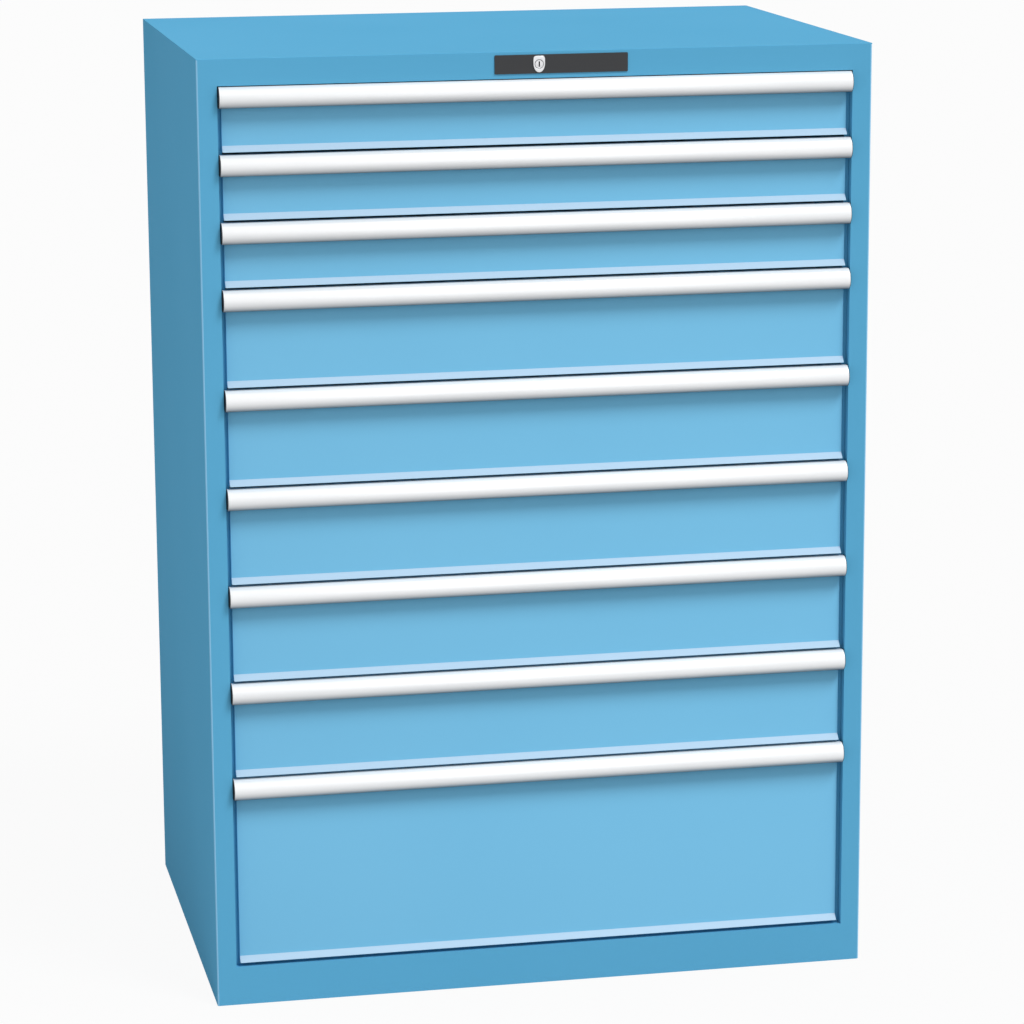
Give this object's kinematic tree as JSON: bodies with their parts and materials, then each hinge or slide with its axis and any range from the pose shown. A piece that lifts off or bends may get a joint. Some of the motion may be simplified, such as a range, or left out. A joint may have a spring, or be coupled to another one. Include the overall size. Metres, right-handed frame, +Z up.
{
  "type": "modular drawer cabinet",
  "caption": "Tall floor-standing sheet-steel cabinet with full-width drawers on roller runners, long aluminium grip rails and a central lock.",
  "frame": {"origin": "on the floor under the middle of the housing, at the centre of the four floor bolt holes", "axes": "+Z up, +X to the right as seen from the front, +Y towards the back; the drawers open towards -Y"},
  "size_m": [1.023, 0.738, 1.45],
  "materials": {
    "blue_paint": "satin light blue powder coat",
    "tray_grey": "satin light grey powder coat",
    "zinc_steel": "bright zinc plated",
    "anodised": "natural satin anodised",
    "dark_plastic": "fine matt charcoal",
    "bright_metal": "nickel plated",
    "guide_plastic": "natural white"
  },
  "bodies": {
    "housing": {"left_side_panel": "blue_paint", "right_side_panel": "blue_paint", "top_panel": "blue_paint", "base_panel": "blue_paint", "back_panel": "blue_paint", "back_panel_rivets": "zinc_steel", "uprights": "zinc_steel", "fixed_rails": "zinc_steel", "lock_strip": "dark_plastic", "lock_escutcheon": "bright_metal", "lock_guides": "guide_plastic"},
    "lock_barrel": {"lock_barrel": "bright_metal", "lock_cam": "zinc_steel"},
    "lock_rod": {"lock_rod": "zinc_steel"},
    "lock_bar": {"lock_bar": "zinc_steel"},
    "drawer_1": {"drawer_1_tray": "tray_grey", "drawer_1_front": "blue_paint", "drawer_1_handle": "anodised", "drawer_1_handle_end_caps": "dark_plastic"},
    "carriages_1": {"drawer_1_carriages": "zinc_steel"},
    "drawer_2": {"drawer_2_tray": "tray_grey", "drawer_2_front": "blue_paint", "drawer_2_handle": "anodised", "drawer_2_handle_end_caps": "dark_plastic"},
    "carriages_2": {"drawer_2_carriages": "zinc_steel"},
    "drawer_3": {"drawer_3_tray": "tray_grey", "drawer_3_front": "blue_paint", "drawer_3_handle": "anodised", "drawer_3_handle_end_caps": "dark_plastic"},
    "carriages_3": {"drawer_3_carriages": "zinc_steel"},
    "drawer_4": {"drawer_4_tray": "tray_grey", "drawer_4_front": "blue_paint", "drawer_4_handle": "anodised", "drawer_4_handle_end_caps": "dark_plastic"},
    "carriages_4": {"drawer_4_carriages": "zinc_steel"},
    "drawer_5": {"drawer_5_tray": "tray_grey", "drawer_5_front": "blue_paint", "drawer_5_handle": "anodised", "drawer_5_handle_end_caps": "dark_plastic"},
    "carriages_5": {"drawer_5_carriages": "zinc_steel"},
    "drawer_6": {"drawer_6_tray": "tray_grey", "drawer_6_front": "blue_paint", "drawer_6_handle": "anodised", "drawer_6_handle_end_caps": "dark_plastic"},
    "carriages_6": {"drawer_6_carriages": "zinc_steel"},
    "drawer_7": {"drawer_7_tray": "tray_grey", "drawer_7_front": "blue_paint", "drawer_7_handle": "anodised", "drawer_7_handle_end_caps": "dark_plastic"},
    "carriages_7": {"drawer_7_carriages": "zinc_steel"},
    "drawer_8": {"drawer_8_tray": "tray_grey", "drawer_8_front": "blue_paint", "drawer_8_handle": "anodised", "drawer_8_handle_end_caps": "dark_plastic"},
    "carriages_8": {"drawer_8_carriages": "zinc_steel"},
    "drawer_9": {"drawer_9_tray": "tray_grey", "drawer_9_front": "blue_paint", "drawer_9_handle": "anodised", "drawer_9_handle_end_caps": "dark_plastic"},
    "carriages_9": {"drawer_9_carriages": "zinc_steel"}
  },
  "joints": [
    {"name": "drawer_1_slide", "type": "slide", "parent": "housing", "child": "drawer_1", "axis": [0, -1, 0], "range_m": [0, 0.61]},
    {"name": "carriages_1_slide", "type": "slide", "parent": "housing", "child": "carriages_1", "axis": [0, -1, 0], "range_m": [0, 0.305]},
    {"name": "drawer_2_slide", "type": "slide", "parent": "housing", "child": "drawer_2", "axis": [0, -1, 0], "range_m": [0, 0.61]},
    {"name": "carriages_2_slide", "type": "slide", "parent": "housing", "child": "carriages_2", "axis": [0, -1, 0], "range_m": [0, 0.305]},
    {"name": "drawer_3_slide", "type": "slide", "parent": "housing", "child": "drawer_3", "axis": [0, -1, 0], "range_m": [0, 0.61]},
    {"name": "carriages_3_slide", "type": "slide", "parent": "housing", "child": "carriages_3", "axis": [0, -1, 0], "range_m": [0, 0.305]},
    {"name": "drawer_4_slide", "type": "slide", "parent": "housing", "child": "drawer_4", "axis": [0, -1, 0], "range_m": [0, 0.61]},
    {"name": "carriages_4_slide", "type": "slide", "parent": "housing", "child": "carriages_4", "axis": [0, -1, 0], "range_m": [0, 0.305]},
    {"name": "drawer_5_slide", "type": "slide", "parent": "housing", "child": "drawer_5", "axis": [0, -1, 0], "range_m": [0, 0.61]},
    {"name": "carriages_5_slide", "type": "slide", "parent": "housing", "child": "carriages_5", "axis": [0, -1, 0], "range_m": [0, 0.305]},
    {"name": "drawer_6_slide", "type": "slide", "parent": "housing", "child": "drawer_6", "axis": [0, -1, 0], "range_m": [0, 0.61]},
    {"name": "carriages_6_slide", "type": "slide", "parent": "housing", "child": "carriages_6", "axis": [0, -1, 0], "range_m": [0, 0.305]},
    {"name": "drawer_7_slide", "type": "slide", "parent": "housing", "child": "drawer_7", "axis": [0, -1, 0], "range_m": [0, 0.61]},
    {"name": "carriages_7_slide", "type": "slide", "parent": "housing", "child": "carriages_7", "axis": [0, -1, 0], "range_m": [0, 0.305]},
    {"name": "drawer_8_slide", "type": "slide", "parent": "housing", "child": "drawer_8", "axis": [0, -1, 0], "range_m": [0, 0.61]},
    {"name": "carriages_8_slide", "type": "slide", "parent": "housing", "child": "carriages_8", "axis": [0, -1, 0], "range_m": [0, 0.305]},
    {"name": "drawer_9_slide", "type": "slide", "parent": "housing", "child": "drawer_9", "axis": [0, -1, 0], "range_m": [0, 0.61]},
    {"name": "carriages_9_slide", "type": "slide", "parent": "housing", "child": "carriages_9", "axis": [0, -1, 0], "range_m": [0, 0.305]},
    {"name": "lock_turn", "type": "hinge", "parent": "housing", "child": "lock_barrel", "pos_m": [-0.002, -0.3625, 1.431], "axis": [0, -1, 0], "range_deg": [0, 90]},
    {"name": "lock_rod_slide", "type": "slide", "parent": "housing", "child": "lock_rod", "axis": [1, 0, 0], "range_m": [0, 0.017]},
    {"name": "lock_bar_drop", "type": "slide", "parent": "housing", "child": "lock_bar", "axis": [0, 0, -1], "range_m": [0, 0.012]}
  ],
  "couplings": [
    {"joint": "carriages_1_slide", "follows": "drawer_1_slide", "ratio": 0.5},
    {"joint": "carriages_2_slide", "follows": "drawer_2_slide", "ratio": 0.5},
    {"joint": "carriages_3_slide", "follows": "drawer_3_slide", "ratio": 0.5},
    {"joint": "carriages_4_slide", "follows": "drawer_4_slide", "ratio": 0.5},
    {"joint": "carriages_5_slide", "follows": "drawer_5_slide", "ratio": 0.5},
    {"joint": "carriages_6_slide", "follows": "drawer_6_slide", "ratio": 0.5},
    {"joint": "carriages_7_slide", "follows": "drawer_7_slide", "ratio": 0.5},
    {"joint": "carriages_8_slide", "follows": "drawer_8_slide", "ratio": 0.5},
    {"joint": "carriages_9_slide", "follows": "drawer_9_slide", "ratio": 0.5},
    {"joint": "lock_turn", "follows": "lock_bar_drop", "rad_per_m": 130.85},
    {"joint": "lock_rod_slide", "follows": "lock_bar_drop", "ratio": 1.414}
  ]
}
